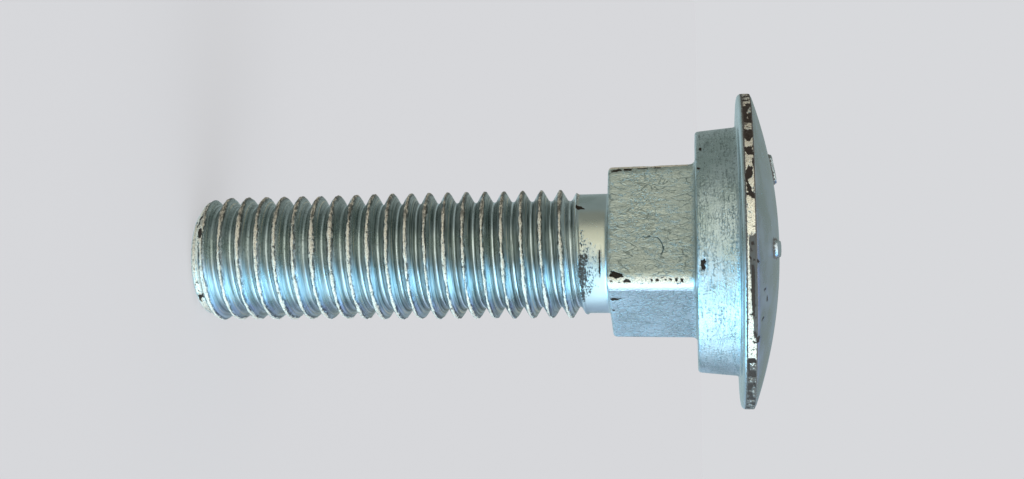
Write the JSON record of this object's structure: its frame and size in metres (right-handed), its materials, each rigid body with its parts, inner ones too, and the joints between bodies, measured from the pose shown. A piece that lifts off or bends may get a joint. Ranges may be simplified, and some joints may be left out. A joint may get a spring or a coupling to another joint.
{
  "type": "round head square neck bolt",
  "caption": "Zinc-plated steel bolt with a shallow domed round head, a round collar and a square neck under it, and a coarse right-hand thread.",
  "frame": {"origin": "the middle of the flat end of the thread, on which the bolt stands", "axes": "+Z along the bolt from the end of the thread to the head; -Y is the side that the picture shows, and -X is towards the top of the picture"},
  "size_m": [0.0283, 0.0282, 0.0536],
  "materials": {
    "zinc_plated_steel": "bright blue-white passivated zinc plating, worn and spotted, crests rubbed bare"
  },
  "bodies": {
    "root": {"bolt": "zinc_plated_steel"}
  },
  "joints": []
}
